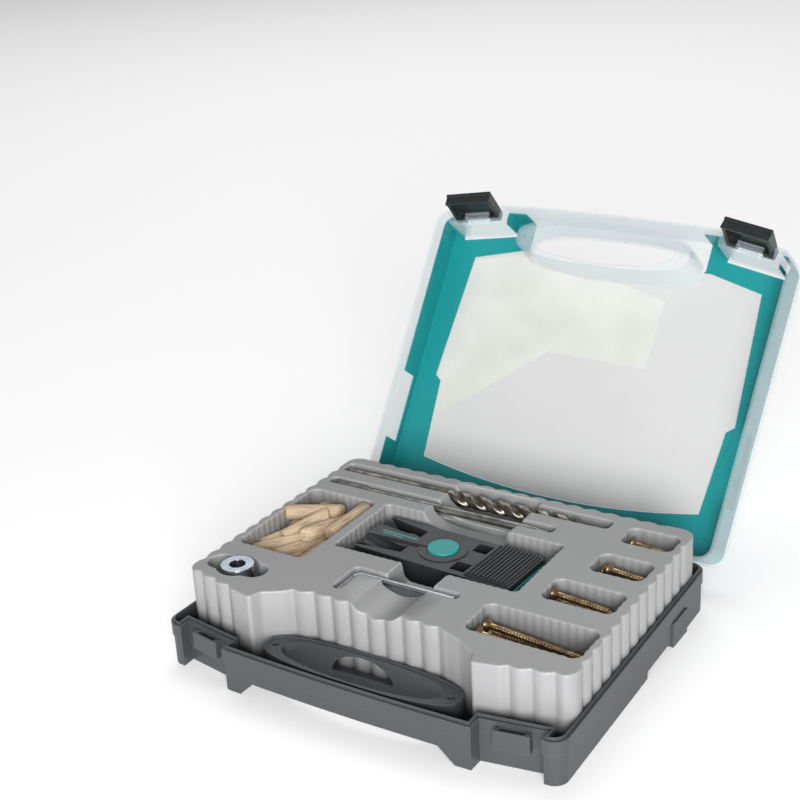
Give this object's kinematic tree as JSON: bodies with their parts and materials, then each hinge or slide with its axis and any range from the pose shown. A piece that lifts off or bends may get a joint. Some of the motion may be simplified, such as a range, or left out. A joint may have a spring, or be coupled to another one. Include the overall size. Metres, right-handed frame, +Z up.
{
  "type": "pocket-hole and dowel joining kit in a carrying case",
  "caption": "Opened carrying case holding a pocket-hole and dowel jig with steel guides, stepped drill, driver bit, stop collar, hex key, dowels and screws.",
  "frame": {"origin": "middle of the case's flat underside", "axes": "+X to the right seen from the handle side, +Y from the handle to the hinge, +Z up; the lid stands open"},
  "size_m": [0.26, 0.3728, 0.2109],
  "materials": {
    "shell": "fine moulded texture, satin",
    "clear": "frosted translucent plastic",
    "liner": "satin card",
    "label": "smooth coated card",
    "pin": "drawn wire",
    "latch": "satin moulded",
    "tray": "vacuum-formed sheet, satin",
    "jig": "fine moulded texture",
    "teal": "satin moulded",
    "bush": "ground steel",
    "spring": "spring wire",
    "jig_screw": "zinc plated",
    "grip": "ribbed",
    "collar": "bright zinc plate",
    "collar_screw": "blackened",
    "key": "bright plated",
    "drill": "ground high speed steel",
    "bit": "satin tool steel",
    "dowel": "beech, cut ends",
    "screw": "yellow zinc plate"
  },
  "bodies": {
    "case": {"case_base": "shell", "storage_tray": "tray", "hinge_pin_left": "pin", "hinge_pin_right": "pin", "dowels": "dowel", "screws_short": "screw", "screws_medium": "screw", "screws_long": "screw", "screws_extra_long": "screw"},
    "lid": {"case_lid": "clear", "lid_liner": "liner", "label_sheet": "label", "latch_pin_left": "pin", "latch_pin_right": "pin"},
    "left_latch": {"latch_left": "latch"},
    "right_latch": {"latch_right": "latch"},
    "jig": {"jig_body": "jig", "jig_base": "jig", "guide_bushes": "bush", "jig_screws": "jig_screw", "grip_pad": "grip", "button_spring": "spring"},
    "stop": {"jig_stop": "teal"},
    "button": {"jig_button": "teal"},
    "collar": {"stop_collar": "collar", "collar_screw": "collar_screw"},
    "key": {"hex_key": "key"},
    "drill": {"step_drill": "drill"},
    "bit": {"driver_bit": "bit"}
  },
  "joints": [
    {"name": "lid_hinge", "type": "hinge", "parent": "case", "child": "lid", "pos_m": [0, 0.1095, 0.0273], "axis": [-1, 0, 0], "range_deg": [-127, 0]},
    {"name": "left_latch_hinge", "type": "hinge", "parent": "lid", "child": "left_latch", "pos_m": [-0.1006, 0.23933, 0.18795], "axis": [-0.9848, -0.1045, -0.1387], "range_deg": [-13, 77]},
    {"name": "right_latch_hinge", "type": "hinge", "parent": "lid", "child": "right_latch", "pos_m": [0.1006, 0.23933, 0.18795], "axis": [-0.9848, 0.1045, 0.1387], "range_deg": [-13, 77]},
    {"name": "jig_lift", "type": "slide", "parent": "case", "child": "jig", "axis": [0, 0, 1], "range_m": [0, 0.06]},
    {"name": "button_press", "type": "slide", "parent": "jig", "child": "button", "axis": [0, 0, -1], "range_m": [0, 0.002], "stiffness_N_per_m": 600, "springref_m": -0.0005, "deforming": ["button_spring"]},
    {"name": "stop_slide", "type": "slide", "parent": "jig", "child": "stop", "axis": [0.9986, -0.0523, 0], "range_m": [0, 0.005]},
    {"name": "collar_lift", "type": "slide", "parent": "case", "child": "collar", "axis": [0, 0, 1], "range_m": [0, 0.04]},
    {"name": "key_lift", "type": "slide", "parent": "case", "child": "key", "axis": [0, 0, 1], "range_m": [0, 0.03]},
    {"name": "drill_lift", "type": "slide", "parent": "case", "child": "drill", "axis": [0, 0, 1], "range_m": [0, 0.04]},
    {"name": "bit_lift", "type": "slide", "parent": "case", "child": "bit", "axis": [0, 0, 1], "range_m": [0, 0.04]}
  ]
}
